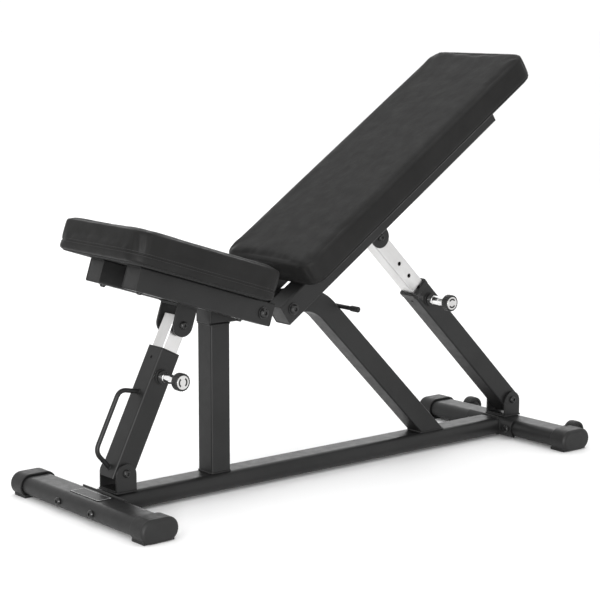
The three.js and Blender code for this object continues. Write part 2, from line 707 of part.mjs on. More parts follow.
function addPullPin(strut, name, height) {
  add(strut, `${name}_pin_barrel`, pinBarrel(), chrome, [0, 0, height]);
  add(strut, `${name}_lock_pin`, lockPin(), satinSteel, [0, 0, height]);
  add(strut, `${name}_pin_spring`, pinSpring(), satinSteel, [0, 0, height]);
  add(strut, `${name}_pull_knob`, pullKnob(), blackPlastic, [0, 0, height]);
}

// The strut stands between its lower pivot and the upper pivot on the padded section.
function strutGroup(bench, baseX, section) {
  const local = new THREE.Vector3(section.reach, 0, -SQUARE / 2 - BRACKET_DROP);
  const upper = local.applyAxisAngle(new THREE.Vector3(0, 1, 0), section.turn)
    .add(new THREE.Vector3(section.pivotX, 0, BEAM_Z));
  const lower = new THREE.Vector3(baseX, 0, OVAL_TOP + STRUT_PIVOT_LIFT);
  const span = upper.clone().sub(lower);
  const strut = new THREE.Group();
  strut.position.copy(lower);
  strut.rotation.y = Math.atan2(span.x, span.z);
  bench.add(strut);
  return { strut, length: span.length() };
}

function addStrut(bench, name, settings) {
  const { strut, length } = strutGroup(bench, settings.baseX, settings.section);
  const pinHeight = settings.outerLength - settings.pinBelowMouth;
  add(strut, `${name}_outer_tube`, outerTube(settings.outerLength, pinHeight), powderCoat);
  add(strut, `${name}_guide_bush`, guideBush(settings.outerLength), blackPlastic);
  add(strut, `${name}_base_bolt`, strutBolt(), blackBolt);
  add(strut, `${name}_inner_tube`,
    innerTube(settings.innerLength, settings.holes, settings.boltHoleRadius), satinSteel,
    [0, 0, length]);
  addPullPin(strut, name, pinHeight);
  return { strut, length };
}

function addStruts(bench) {
  const front = addStrut(bench, 'seat_strut', {
    baseX: FRONT_STRUT_X,
    section: { reach: -SEAT_BRACKET_REACH, turn: SEAT_ANGLE, pivotX: SEAT_PIVOT_X },
    outerLength: FRONT_OUTER_LENGTH,
    innerLength: FRONT_INNER_LENGTH,
    pinBelowMouth: FRONT_PIN_BELOW_MOUTH,
    holes: FRONT_HOLES,
    boltHoleRadius: 11,
  });
  add(front.strut, 'seat_strut_grab_handle', grabHandle(), powderCoat);

  const rear = addStrut(bench, 'backrest_strut', {
    baseX: REAR_STRUT_X,
    section: { reach: BACK_BRACKET_REACH, turn: -BACK_ANGLE, pivotX: BACK_PIVOT_X },
    outerLength: REAR_OUTER_LENGTH,
    innerLength: REAR_INNER_LENGTH,
    pinBelowMouth: REAR_PIN_BELOW_MOUTH,
    holes: REAR_HOLES,
    boltHoleRadius: STRUT_BOLT_RADIUS + 0.5,
  });
  const plugSize = INNER_SQUARE - 2 * STRUT_WALL - 4 * GAP;
  const plugLength = 20;
  add(rear.strut, 'backrest_strut_end_plug',
    barZ(roundedRectangle(plugSize, plugSize, 2), plugLength), blackPlastic,
    [0, 0, rear.length - REAR_INNER_LENGTH + plugLength / 2]);
}

// ---- Assembly: the origin is on the floor, in the middle of the overall length ----
const bench = new THREE.Group();
addBase(bench);
addWheels(bench);
addFrame(bench);
addBaseBrackets(bench);
addSeat(bench);
addBackrest(bench);
addStruts(bench);
const extent = new THREE.Box3().setFromObject(bench, true);
bench.position.x = -(extent.min.x + extent.max.x) / 2;

export default bench;
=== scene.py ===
"""The adjustable weight bench: fine meshes, cushions, materials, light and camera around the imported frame.

Metres, in the frame's own axes: +X towards the head end, -Y the side of the pull knobs, +Z up.
Each piece is built in its own axes, with its length along Z, and then placed.
"""

import json
import math

import bmesh
import bpy
import numpy as np
from mathutils import Matrix, Vector, noise
from mathutils.bvhtree import BVHTree


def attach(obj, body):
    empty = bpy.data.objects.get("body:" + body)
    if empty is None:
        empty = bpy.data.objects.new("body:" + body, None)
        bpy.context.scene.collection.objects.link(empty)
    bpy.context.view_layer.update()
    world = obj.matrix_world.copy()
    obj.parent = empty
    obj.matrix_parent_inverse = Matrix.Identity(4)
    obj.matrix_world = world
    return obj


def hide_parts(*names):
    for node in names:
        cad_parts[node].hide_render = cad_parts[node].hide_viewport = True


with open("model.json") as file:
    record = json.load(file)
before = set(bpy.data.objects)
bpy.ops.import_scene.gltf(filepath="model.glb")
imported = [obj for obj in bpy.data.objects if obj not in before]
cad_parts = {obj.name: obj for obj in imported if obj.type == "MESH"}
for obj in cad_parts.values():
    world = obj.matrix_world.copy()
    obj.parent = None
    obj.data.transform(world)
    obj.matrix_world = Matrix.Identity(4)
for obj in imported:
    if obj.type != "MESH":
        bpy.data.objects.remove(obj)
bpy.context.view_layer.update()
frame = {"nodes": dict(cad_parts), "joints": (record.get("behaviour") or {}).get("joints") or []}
joints = {joint["name"]: joint for joint in frame["joints"]}

# ---- Driving dimensions that the frame's boxes don't give ----
MM = 0.001
SEAT_TILT = math.radians(18)
BACK_TILT = math.radians(34)
BEAM_SLOPE = math.radians(45)
BEAM_BEND_RADIUS = 105 * MM
TUBE_WALL = 2.5 * MM
TUBE_CORNER = 4 * MM
STRUT_WALL = 2 * MM
PLATE = 5 * MM
EAR_RADIUS = 25 * MM
SADDLE_THICKNESS = 4 * MM
SADDLE_WIDTH = 154 * MM
SADDLE_HALF_ANGLE = math.radians(64)
BASE_BRACKET_ARC_DROP = 5 * MM
PAD_CORNER = 34 * MM
PAD_EDGE = 7 * MM
PAD_RISE = 5 * MM  # the most that filling a cushion lifts a point
DRAW_IN = 0.6 * MM  # and the most that it sinks one
SEAT_SEAM = 20.5 * MM
BACK_SEAM = 8.5 * MM
STITCH_ROW = 3 * MM  # from the seam to a row of stitches
CUSHION_VOXEL = 5 * MM
CLOTH_FRAMES = 20
PIVOT_TUBE_RADIUS = 13 * MM
HINGE_HEAD = 10.5 * MM  # radius of a bolt's head
STRUT_HEAD = 8.7 * MM
WHEEL_HEAD = 7 * MM
SHARP_EDGE = math.radians(34)
SOFT_EDGE = math.radians(80)
PIN_HOLE_RADIUS = 5 * MM
PIN_HOLE_PITCH = {"seat": 37 * MM, "backrest": 43 * MM}
PIN_HOLE_FIRST = {"seat": 79 * MM, "backrest": 95.9 * MM}
PIN_HOLE_COUNT = {"seat": 2, "backrest": 8}
KNOB_MARK_TURN = {"seat": math.pi / 2, "backrest": 0}
LEFT, RIGHT = -1, 1
SIDES = (("left", LEFT), ("right", RIGHT))

# ---- Local axes ----
ALONG_Y = Matrix.Rotation(math.pi / 2, 4, "X")  # local Z points to -Y
ALONG_X = Matrix.Rotation(math.pi / 2, 4, "Z") @ ALONG_Y  # local Z points to +X
TO_RIGHT = Matrix.Rotation(math.pi, 4, "Z")  # swaps the left and right sides
UPSIDE_DOWN = Matrix.Rotation(math.pi, 4, "X")
PLAIN = Matrix.Identity(4)


def at(point, angle=0.0):
    """Axes at a point, turned about +Y."""
    return Matrix.Translation(Vector(point)) @ Matrix.Rotation(angle, 4, "Y")


def slide_angle(name):
    axis = joints[name]["axis"]
    return math.atan2(axis[0], axis[2])


SEAT = at(joints["seat_tilt"]["pos_m"], SEAT_TILT)
BACKREST = at(joints["backrest_raise"]["pos_m"], -BACK_TILT)
SEAT_STRUT = at(joints["seat_strut_swing"]["pos_m"], slide_angle("seat_strut_slide"))
BACKREST_STRUT = at(joints["backrest_strut_swing"]["pos_m"], slide_angle("backrest_strut_slide_raise"))


def extent(node, place=PLAIN):
    """Lowest and highest corner of a CAD node in the given axes."""
    inverse = place.inverted()
    points = np.array([inverse @ vertex.co for vertex in frame["nodes"][node].data.vertices])
    return Vector(points.min(0)), Vector(points.max(0))


def middle(node, place=PLAIN):
    low, high = extent(node, place)
    return (low + high) / 2


def under_middle(low, high):
    """Axes in the middle of the lower face of a box."""
    return at(((low.x + high.x) / 2, (low.y + high.y) / 2, low.z))


# ---- Materials. Patterns run in each piece's own axes, so scales are per metre. ----
class Shader:
    def __init__(self, name, **values):
        self.material = bpy.data.materials.new(name)
        self.material.use_nodes = True
        self.tree = self.material.node_tree
        self.surface = self.tree.nodes["Principled BSDF"]
        self.coordinates = self.tree.nodes.new("ShaderNodeTexCoord").outputs["Object"]
        self.last_bump = None
        for socket, value in values.items():
            self.surface.inputs[socket.replace("_", " ")].default_value = value

    def node(self, kind, inputs=None, **settings):
        made = self.tree.nodes.new(kind)
        for name, value in settings.items():
            setattr(made, name, value)
        for name, value in (inputs or {}).items():
            if isinstance(value, bpy.types.NodeSocket):
                self.tree.links.new(value, made.inputs[name])
            else:
                made.inputs[name].default_value = value
        return made

    def noise(self, scale, detail, stretch=(1, 1, 1), distortion=0.0):
        stretched = self.node("ShaderNodeMapping", {"Vector": self.coordinates, "Scale": stretch}).outputs[0]
        inputs = {"Vector": stretched, "Scale": scale, "Detail": detail, "Distortion": distortion}
        return self.node("ShaderNodeTexNoise", inputs).outputs["Fac"]

    def cells(self, scale):
        inputs = {"Vector": self.coordinates, "Scale": scale}
        return self.node("ShaderNodeTexVoronoi", inputs).outputs["Distance"]

    def spread(self, factor, low, high):
        """Noise mostly lies between 0.3 and 0.7, which becomes low to high."""
        inputs = {"Value": factor, "From Min": 0.3, "From Max": 0.7, "To Min": low, "To Max": high}
        return self.node("ShaderNodeMapRange", inputs).outputs["Result"]

    def colour(self, factor, first, second):
        """The mix node's two colour inputs are numbers 6 and 7, and its colour output is number 2."""
        inputs = {"Factor": self.spread(factor, 0, 1), 6: (*first, 1), 7: (*second, 1)}
        mix = self.node("ShaderNodeMix", inputs, data_type="RGBA")
        self.tree.links.new(mix.outputs[2], self.surface.inputs["Base Color"])

    def roughness(self, factor, low, high):
        self.tree.links.new(self.spread(factor, low, high), self.surface.inputs["Roughness"])

    def bump(self, height, distance, strength=1.0):
        """Adds relief of the given depth in metres on top of the bumps so far."""
        inputs = {"Height": height, "Distance": distance, "Strength": strength}
        if self.last_bump:
            inputs["Normal"] = self.last_bump
        self.last_bump = self.node("ShaderNodeBump", inputs).outputs["Normal"]
        self.tree.links.new(self.last_bump, self.surface.inputs["Normal"])


def grey(value, warmth=0.0):
    return (value * (1 + warmth), value, value * (1 - warmth))


def powder_coat():
    shader = Shader("powder_coat", Specular_IOR_Level=0.27)
    shader.colour(shader.noise(9, detail=4), grey(0.0075), grey(0.0115))
    shader.roughness(shader.noise(60, detail=5), 0.36, 0.46)
    shader.bump(shader.noise(260, detail=2), 0.00006)
    shader.bump(shader.noise(1100, detail=3), 0.00007)
    return shader.material


def vinyl():
    shader = Shader("vinyl", Specular_IOR_Level=0.15, Sheen_Weight=0.012, Sheen_Roughness=0.4)
    shader.colour(shader.noise(14, detail=5, distortion=0.4), grey(0.0062, 0.02), grey(0.0092, 0.02))
    shader.roughness(shader.noise(30, detail=6), 0.5, 0.62)
    shader.bump(shader.noise(22, detail=2), 0.0009)
    shader.bump(shader.cells(780), 0.00016, 0.8)
    shader.bump(shader.noise(2400, detail=2), 0.00005)
    return shader.material


def rubber():
    shader = Shader("rubber", Specular_IOR_Level=0.28)
    shader.colour(shader.noise(40, detail=5), grey(0.0085), grey(0.0125))
    shader.roughness(shader.noise(90, detail=4), 0.42, 0.56)
    shader.bump(shader.noise(900, detail=3), 0.00006)
    return shader.material


def black_plastic():
    shader = Shader("black_plastic", Specular_IOR_Level=0.3)
    shader.colour(shader.noise(50, detail=3), grey(0.0075), grey(0.0105))
    shader.roughness(shader.noise(120, detail=4), 0.3, 0.42)
    shader.bump(shader.noise(1500, detail=2), 0.00003)
    return shader.material


def satin_steel():
    shader = Shader("satin_steel", Metallic=1.0)
    clouds = shader.noise(35, detail=5, stretch=(1, 1, 0.4))
    shader.colour(clouds, grey(0.56, 0.01), grey(0.68, 0.005))
    shader.roughness(clouds, 0.26, 0.38)
    shader.bump(shader.noise(700, detail=4, stretch=(1, 1, 0.03)), 0.00002)
    return shader.material


def chrome():
    shader = Shader("chrome", Metallic=1.0)
    clouds = shader.noise(120, detail=4)
    shader.colour(clouds, grey(0.78), grey(0.88))
    shader.roughness(clouds, 0.06, 0.13)
    shader.bump(shader.noise(400, detail=2, stretch=(1, 1, 8)), 0.00001)
    return shader.material


def black_bolt():
    shader = Shader("black_bolt", Metallic=0.7)
    shader.colour(shader.noise(200, detail=4), grey(0.022), grey(0.045))
    shader.roughness(shader.noise(300, detail=4), 0.24, 0.36)
    shader.bump(shader.noise(1800, detail=2), 0.00002)
    return shader.material


def lining():
    shader = Shader("lining", Specular_IOR_Level=0.2)
    fibres = shader.noise(1300, detail=6, distortion=1.5)
    shader.colour(fibres, grey(0.010), grey(0.028))
    shader.roughness(fibres, 0.82, 0.95)
    shader.bump(shader.cells(420), 0.0002)
    shader.bump(fibres, 0.00015)
    return shader.material


def label():
    shader = Shader("label", Specular_IOR_Level=0.25)
    shader.colour(shader.noise(80, detail=4), grey(0.009), grey(0.013))
    shader.roughness(shader.noise(200, detail=4), 0.4, 0.48)
    shader.bump(shader.noise(2000, detail=2), 0.00001)
    return shader.material


def pale_line():
    shader = Shader("pale_line", Specular_IOR_Level=0.5)
    shader.colour(shader.noise(400, detail=4), grey(0.42), grey(0.55))
    shader.roughness(shader.noise(500, detail=3), 0.35, 0.45)
    return shader.material


def thread():
    shader = Shader("thread", Specular_IOR_Level=0.3)
    twist = shader.noise(3000, detail=2)
    shader.colour(twist, grey(0.018), grey(0.036))
    shader.roughness(twist, 0.55, 0.7)
    shader.bump(twist, 0.00008)
    return shader.material


def floor_paint():
    shader = Shader("floor_paint", Specular_IOR_Level=0.2)
    broad = shader.noise(0.8, detail=3)
    shader.colour(broad, grey(0.95), grey(0.96))
    shader.roughness(broad, 0.7, 0.8)
    return shader.material


MATERIALS = {make.__name__: make() for make in (
    powder_coat, vinyl, rubber, black_plastic, satin_steel, chrome, black_bolt, lining, label, pale_line,
    thread, floor_paint)}


# ---- Mesh helpers. A body is a pair of lists: vertices and faces. ----
def fillet(corners, radius, steps=3, closed=False):
    """The corner points with each inner corner rounded, in two or three dimensions."""
    result = []
    count = len(corners)
    for index, corner in enumerate(corners):
        if not closed and index in (0, count - 1):
            result.append(Vector(corner))
            continue
        here = Vector(corner)
        before, after = Vector(corners[index - 1]) - here, Vector(corners[(index + 1) % count]) - here
        reach = min(radius, before.length * 0.45, after.length * 0.45)
        start, end = here + before.normalized() * reach, here + after.normalized() * reach
        for step in range(steps + 1):
            share = step / steps
            result.append(start.lerp(here, share).lerp(here.lerp(end, share), share))
    return result


def rectangle(width, height, radius, steps=5):
    """A rounded rectangle as a function of how far it is drawn in from its own edge."""
    def outline(inset=0.0):
        round_radius = max(radius - inset, 0.02 * MM)
        x, y = width / 2 - inset - round_radius, height / 2 - inset - round_radius
        points = []
        for quarter, (side_x, side_y) in enumerate(((1, 1), (-1, 1), (-1, -1), (1, -1))):
            for step in range(steps + 1):
                angle = math.pi / 2 * (quarter + step / steps)
                points.append((side_x * x + round_radius * math.cos(angle),
                               side_y * y + round_radius * math.sin(angle)))
        return points
    return outline


def arc(radius, start, stop, steps):
    """Points round the origin, from one angle to another."""
    angles = [start + (stop - start) * step / steps for step in range(steps + 1)]
    return [(radius * math.cos(angle), radius * math.sin(angle)) for angle in angles]


def circle(radius, steps=32):
    def outline(inset=0.0):
        return arc(max(radius - inset, 0.001 * MM), 0, 2 * math.pi, steps)[:-1]
    return outline


def arc_strip(inner, outer, start, stop, end_inset=0):
    """A strip bent round the Z axis as a function of its inset, which its ends take end_inset times."""
    def outline(inset=0.0):
        turn = end_inset * inset / inner
        outside = arc(outer - inset, start + turn, stop - turn, 14)
        return outside + arc(inner + inset, stop - turn, start + turn, 14)
    return outline


def loft(rings, looped=False):
    """Quads between rings of equal length. The ends are closed, unless the last ring joins the first."""
    count = len(rings[0])
    vertices = [Vector(point) for ring in rings for point in ring]
    faces = []
    for ring in range(len(rings) if looped else len(rings) - 1):
        here, there = ring * count, (ring + 1) % len(rings) * count
        for index in range(count):
            after = (index + 1) % count
            faces.append((here + index, here + after, there + after, there + index))
    if not looped:
        faces.append(tuple(reversed(range(count))))
        faces.append(tuple(range((len(rings) - 1) * count, len(rings) * count)))
    return vertices, faces


def stack(outline, profile, looped=False):
    """The outline drawn along Z through a profile of (inset, z) points."""
    return loft([[(x, y, z) for x, y in outline(inset)] for inset, z in profile], looped)


def bar(outline, low, high, edge=0.6 * MM):
    """A solid bar with rounded end edges."""
    corners = [(edge * 3, low), (0, low), (0, high), (edge * 3, high)]
    return stack(outline, fillet(corners, edge))


def tube(outline, wall, low, high, edge=0.5 * MM):
    corners = [(0, low), (0, high), (wall, high), (wall, low)]
    return stack(outline, fillet(corners, edge, closed=True), looped=True)


def turned_rings(profile, steps):
    """One ring of points about Z for each (radius, z) point."""
    return [[(x, y, z) for x, y in circle(radius, steps)(0)] for radius, z in profile]


def lathe(profile, steps=40):
    """A body turned about Z from (radius, z) points."""
    return loft(turned_rings(profile, steps))


def sweep(outline, path, scales=None):
    """The outline carried along a path of points, without twist. The outline's y axis starts up."""
    path = [Vector(point) for point in path]
    tangents = []
    for index in range(len(path)):
        ahead, behind = path[min(index + 1, len(path) - 1)], path[max(index - 1, 0)]
        tangents.append((ahead - behind).normalized())
    side = Vector((0, 1, 0))
    if abs(tangents[0].y) > 0.9:
        side = Vector((1, 0, 0))
    side = (side - side.project(tangents[0])).normalized()
    rings = []
    for index, (point, tangent) in enumerate(zip(path, tangents)):
        if index:
            side = tangents[index - 1].rotation_difference(tangent) @ side
        up = tangent.cross(side)
        scale = scales[index] if scales else 1
        rings.append([point + (side * x + up * y) * scale for x, y in outline(0)])
    return loft(rings)


def moved(body, place):
    vertices, faces = body
    return [place @ vertex for vertex in vertices], faces


def merged(*bodies):
    vertices, faces = [], []
    for some_vertices, some_faces in bodies:
        start = len(vertices)
        vertices += some_vertices
        faces += [tuple(start + index for index in face) for face in some_faces]
    return vertices, faces


def resampled(path, step):
    """The path with a point every step along it."""
    points = [Vector(point) for point in path]
    result = [points[0]]
    spare = 0.0
    for start, end in zip(points, points[1:]):
        length = (end - start).length
        travelled = step - spare
        while travelled <= length:
            result.append(start.lerp(end, travelled / length))
            travelled += step
        spare = (spare + length) % step
    return result


def weld(path, radius=2.4 * MM):
    """A weld bead along a path, with its row of ripples."""
    step, ripple = 0.7 * MM, 3.4 * MM
    points = resampled(path, step)
    scales = []
    for index, point in enumerate(points):
        wave = abs(math.sin(math.pi * index * step / ripple))
        scales.append(0.86 + 0.14 * wave + 0.12 * noise.noise(point * 160))
    scales[0] = scales[-1] = 0.4
    return sweep(circle(radius, 8), points, scales)


def ring_path(outline, z=0.0):
    points = [Vector((x, y, z)) for x, y in outline(0)]
    return points + points[:1]


def new_object(name, data):
    made = bpy.data.objects.new(name, data)
    bpy.context.scene.collection.objects.link(made)
    return made


def new_mesh(name, body):
    vertices, faces = body
    mesh = bpy.data.meshes.new(name)
    mesh.from_pydata(vertices, [], faces)
    return mesh


def make_piece(name, body, place, rides_on, material, nodes=(), sharp=SHARP_EDGE):
    """A mesh object from a body, with clean normals, on its CAD body."""
    mesh = new_mesh(name, body)
    edited = bmesh.new()
    edited.from_mesh(mesh)
    bmesh.ops.remove_doubles(edited, verts=edited.verts, dist=0.004 * MM)
    bmesh.ops.dissolve_degenerate(edited, edges=edited.edges, dist=0.004 * MM)
    bmesh.ops.recalc_face_normals(edited, faces=edited.faces)
    edited.to_mesh(mesh)
    edited.free()
    mesh.shade_smooth()
    mesh.set_sharp_from_angle(angle=sharp)
    mesh.materials.append(MATERIALS[material])
    piece = new_object(name, mesh)
    piece.matrix_world = place
    weighted = piece.modifiers.new("weighted_normals", "WEIGHTED_NORMAL")
    weighted.keep_sharp = True
    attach(piece, rides_on)
    if nodes:
        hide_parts(*nodes)
    return piece


def drill(piece, radius, starts, direction, depth):
    """Cuts round holes into a piece. Starts and direction are in the piece's own axes."""
    direction = Vector(direction)
    turn = Vector((0, 0, 1)).rotation_difference(direction).to_matrix().to_4x4()
    hole = stack(circle(radius, 24), [(0, 0), (0, depth)])
    holes = merged(*[moved(hole, at(start) @ turn) for start in starts])
    cutter = new_object("cutter", new_mesh("cutter", holes))
    cutter.matrix_world = piece.matrix_world
    cut = piece.modifiers.new("holes", "BOOLEAN")
    cut.operation, cut.solver, cut.object = "DIFFERENCE", "EXACT", cutter
    piece.modifiers.move(len(piece.modifiers) - 1, 0)
    with bpy.context.temp_override(object=piece, active_object=piece, selected_objects=[piece]):
        bpy.ops.object.modifier_apply(modifier=cut.name)
    bpy.data.objects.remove(cutter)
    piece.data.shade_smooth()
    piece.data.set_sharp_from_angle(angle=SHARP_EDGE)


# ---- Bolts ----
HEX_STEPS = 36


def hexagon(radius):
    """A hexagon with as many points as the head's circle, so that the two can be joined by quads."""
    points = []
    for step in range(HEX_STEPS):
        angle = 2 * math.pi * step / HEX_STEPS
        within = angle % (math.pi / 3) - math.pi / 6
        reach = radius * math.cos(math.pi / 6) / math.cos(within)
        points.append((reach * math.cos(angle), reach * math.sin(angle)))
    return points


def button_head(radius, height, socket):
    """A round head with a hexagon socket. It stands on z = 0."""
    corners = [(radius * 0.5, 0), (radius, 0), (radius, height * 0.35), (radius * 0.72, height),
               (socket * 1.12, height)]
    rings = turned_rings(fillet(corners, 1.2 * MM), HEX_STEPS)
    for scale, z in ((1, height - 0.3 * MM), (0.98, height * 0.4)):
        rings.append([(x, y, z) for x, y in hexagon(socket * scale)])
    return loft(rings)


def domed_nut(radius, height):
    flats = [[(x, y, z) for x, y in hexagon(radius)] for z in (0, height * 0.55)]
    dome = [(radius * 0.86, height * 0.6), (radius * 0.78, height * 0.85), (radius * 0.45, height)]
    return loft(flats + turned_rings(dome, HEX_STEPS))


def washer(radius, height):
    return bar(circle(radius, HEX_STEPS), 0, height, edge=0.3 * MM)


# ---- Base ----
def stabiliser(end):
    node = f"{end}_stabiliser_tube"
    low, high = extent(node)
    size = high - low
    body = tube(rectangle(size.x, size.z, size.z / 2, steps=10), TUBE_WALL, -size.y / 2, size.y / 2)
    make_piece(f"{end}_stabiliser", body, at(middle(node)) @ ALONG_Y, "base_frame", "powder_coat", [node])


def end_cap(end, name, side):
    node = f"{end}_{name}_end_cap"
    low, high = extent(node)
    size = high - low
    tube_low, tube_high = extent(f"{end}_stabiliser_tube")
    wall = (size.z - (tube_high.z - tube_low.z)) / 2 - 0.4 * MM
    sleeve, nose = 45 * MM, 7 * MM
    outline = rectangle(size.x, size.z, size.z / 2, steps=12)
    corners = [(wall, -5 * MM), (wall, -sleeve), (0, -sleeve), (0, -5.5 * MM), (3.2 * MM, -1.4 * MM),
               (6.5 * MM, 0), (size.z * 0.3, 0)]
    shell = stack(outline, fillet(corners, 1.8 * MM, steps=4))
    sole_width, sole_height = size.x - 16 * MM, 7 * MM
    sole = bar(rectangle(sole_width, sole_height, 1.6 * MM), -sleeve - wall, -nose, edge=1.2 * MM)
    sole = moved(sole, at((0, -(size.z - sole_height) / 2, 0)))
    outer = (low + high) / 2
    outer.y = low.y if side == LEFT else high.y
    place = at(outer) @ (TO_RIGHT if side == RIGHT else PLAIN) @ ALONG_Y
    make_piece(f"{end}_{name}_cap", merged(shell, sole), place, "base_frame", "rubber", [node])


def base_tube():
    front_low, front_high = extent("front_stabiliser_tube")
    front, rear = middle("front_stabiliser_tube"), middle("rear_stabiliser_tube")
    width, height = front_high.x - front_low.x, front_high.z - front_low.z
    bend = height / 2 + 0.4 * MM
    outer = bend + SADDLE_THICKNESS
    arc_shift = (width - height) / 2
    outline = rectangle(width, height, height / 2, steps=10)
    body = bar(outline, front.x + arc_shift + bend, rear.x - arc_shift - bend, edge=0.2 * MM)
    bodies = [moved(body, at((0, 0, front.z)) @ ALONG_X)]
    section = arc_strip(bend, outer, -SADDLE_HALF_ANGLE, SADDLE_HALF_ANGLE, end_inset=1)
    plate = bar(section, -SADDLE_WIDTH / 2, SADDLE_WIDTH / 2, edge=0.7 * MM)
    around = outline(-0.8 * MM)
    for x, facing, turn in ((front.x, 1, PLAIN), (rear.x, -1, TO_RIGHT)):
        arc_x = x + facing * arc_shift
        bodies.append(moved(plate, at((arc_x, 0, front.z)) @ turn @ ALONG_Y))
        seam = [(arc_x + facing * math.sqrt(max(outer * outer - z * z, 0)), y, front.z + z)
                for y, z in around + around[:1]]
        bodies.append(weld(seam))
    make_piece("base_tube_with_saddles", merged(*bodies), PLAIN, "base_frame", "powder_coat", ["base_tube"])


def long_bolt(name, node, place, rides_on, head, washers=0.0, keep=None):
    """A bolt as long as its CAD node. Local Z runs from the nut to the head. It may keep only one end."""
    low, high = extent(node, place)
    head_height, nut_height = head * 0.62, head * 0.8
    bodies = []
    if keep != "nut":
        face = high.z - head_height
        bodies.append(moved(button_head(head, head_height, head * 0.45), at((0, 0, face))))
        if washers:
            bodies.append(moved(washer(head * 1.28, washers), at((0, 0, face - washers))))
    if keep != "head":
        face = low.z + nut_height
        bodies.append(moved(domed_nut(head * 0.98, nut_height), at((0, 0, face)) @ UPSIDE_DOWN))
        if washers:
            bodies.append(moved(washer(head * 1.28, washers), at((0, 0, face))))
    shank_low = low.z + (nut_height * 0.5 if keep != "head" else 0)
    shank_high = high.z - (head_height * 0.5 if keep != "nut" else 0)
    bodies.append(bar(circle(head * 0.55, 20), shank_low, shank_high, edge=0.2 * MM))
    make_piece(name, merged(*bodies), place, rides_on, "black_bolt", [node])


def stabiliser_bolts():
    for end in ("front", "rear"):
        for name, _side in SIDES:
            node = f"{end}_{name}_stabiliser_bolt"
            place = at(middle(node)) @ TO_RIGHT @ ALONG_X
            long_bolt(f"{end}_{name}_base_screw", node, place, "base_frame", STRUT_HEAD)


def name_plate():
    low, high = extent("blank_name_plate")
    size = high - low
    place = under_middle(low, high)
    plate = bar(rectangle(size.x, size.y, 2 * MM), 0, size.z, edge=0.25 * MM)
    make_piece("name_plate", plate, place, "base_frame", "label", ["blank_name_plate"])
    margin, line = 1.6 * MM, 0.8 * MM
    border = tube(rectangle(size.x - 2 * margin, size.y - 2 * margin, 1.6 * MM), line,
                  size.z * 0.8, size.z + 0.12 * MM, edge=0.03 * MM)
    make_piece("name_plate_border", border, place, "base_frame", "pale_line")


# ---- Wheels ----
def wheels():
    for name, side in SIDES:
        node = f"{name}_transport_wheel"
        low, high = extent(node)
        radius, half = (high.z - low.z) / 2, (high.y - low.y) / 2
        hub, rim, recess = 9 * MM, radius - 6 * MM, 3.5 * MM
        bore, slant = 4.6 * MM, 1 * MM
        corners = [(bore, -half), (hub, -half), (hub + slant, -half + recess), (rim - slant, -half + recess),
                   (rim, -half), (radius - slant, -half)]
        groove, depth = 1.1 * MM, 0.9 * MM
        for z in (-half / 2, 0, half / 2):
            corners += [(radius, z - groove), (radius - depth, z), (radius, z + groove)]
        corners += [(radius - slant, half), (rim, half), (rim - slant, half - recess),
                    (hub + slant, half - recess), (hub, half), (bore, half)]
        tyre = loft(turned_rings(fillet(corners, 0.9 * MM, closed=True), 56), looped=True)
        place = at(middle(node)) @ ALONG_Y
        make_piece(f"{name}_wheel_tyre", tyre, place, f"{name}_wheel", "rubber", [node])

        bolt = f"{name}_wheel_axle_bolt"
        turn = PLAIN if side == LEFT else TO_RIGHT
        place = at(middle(bolt)) @ turn @ ALONG_Y
        long_bolt(f"{name}_wheel_bolt", bolt, place, "base_frame", WHEEL_HEAD)
        wheel_bracket(name)


def wheel_bracket(name):
    node = f"{name}_wheel_bracket"
    low, high = extent(node)
    thickness, radius = high.y - low.y, (high.z - low.z) / 2
    axle = Vector(joints[f"{name}_wheel_spin"]["pos_m"])
    back = axle.x - low.x

    def outline(inset=0.0):
        size = radius - inset
        return arc(size, -math.pi / 2, math.pi / 2, 16) + [(-back + inset, size), (-back + inset, -size)]

    body = bar(outline, -thickness / 2, thickness / 2)
    stabiliser_back = extent("rear_stabiliser_tube")[1].x
    seam_x = stabiliser_back - axle.x + 0.5 * MM
    beads = [weld([(seam_x, -radius, z), (seam_x, radius, z)], 1.6 * MM)
             for z in (-thickness / 2, thickness / 2)]
    place = at((axle.x, (low.y + high.y) / 2, axle.z)) @ ALONG_Y
    make_piece(f"{name}_wheel_tab", merged(body, *beads), place, "base_frame", "powder_coat", [node])


# ---- Post, beam and stop rod ----
def post():
    low, high = extent("seat_post")
    size = high - low
    outline = rectangle(size.x, size.y, TUBE_CORNER)
    body = tube(outline, TUBE_WALL, low.z, high.z)
    beads = [weld(ring_path(outline, low.z + 1 * MM)), weld(ring_path(outline, high.z - 1 * MM), 2 * MM)]
    place = at((middle("seat_post").x, 0, 0))
    make_piece("post", merged(body, *beads), place, "base_frame", "powder_coat", ["seat_post"])


